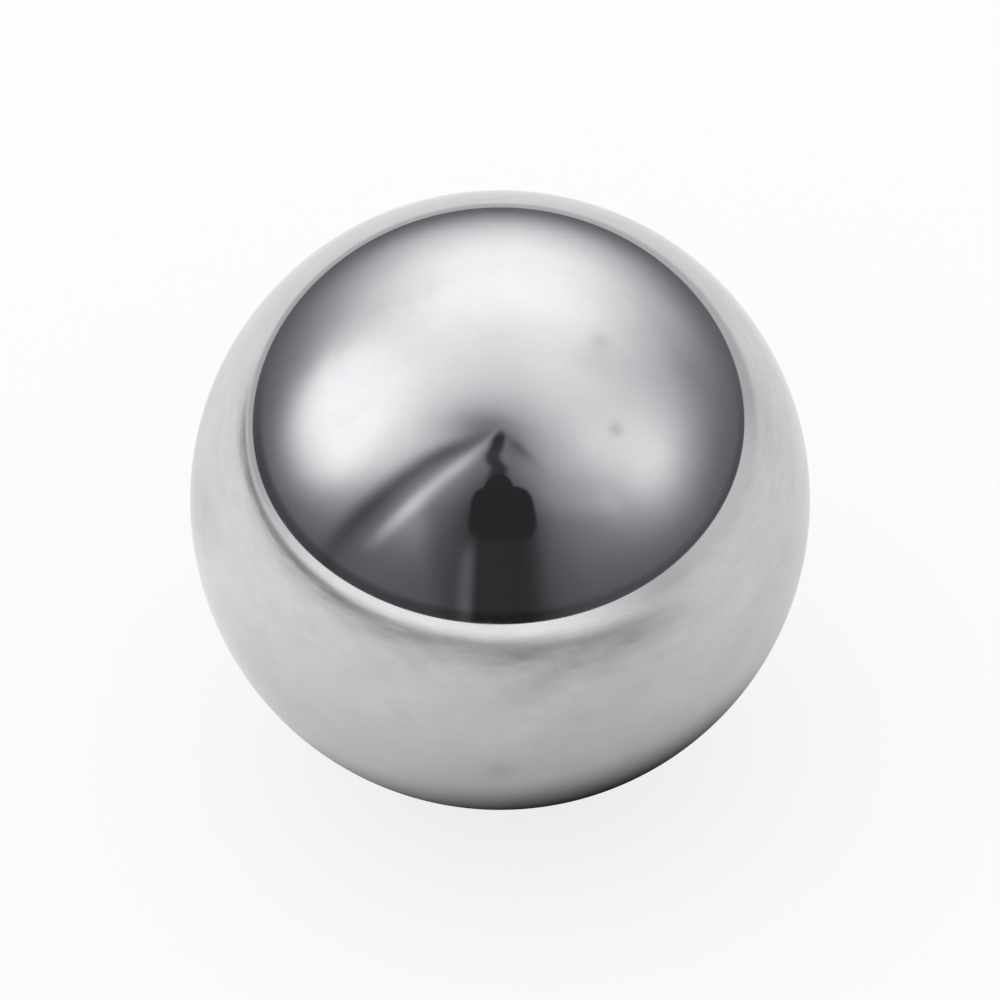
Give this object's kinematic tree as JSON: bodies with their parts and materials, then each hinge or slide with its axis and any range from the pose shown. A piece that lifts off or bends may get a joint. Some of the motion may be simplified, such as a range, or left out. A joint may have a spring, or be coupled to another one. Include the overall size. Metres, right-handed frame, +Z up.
{
  "type": "steel ball",
  "caption": "Solid polished steel ball, a loose rolling element for a bearing, a detent or a desk mechanism.",
  "frame": {"origin": "centre of the ball", "axes": "+Z is up. Every line through the centre is an axis of symmetry, so X and Y are free."},
  "size_m": [0.01, 0.01, 0.01],
  "materials": {
    "polished_steel": "polished"
  },
  "bodies": {
    "root": {"ball": "polished_steel"}
  },
  "joints": []
}
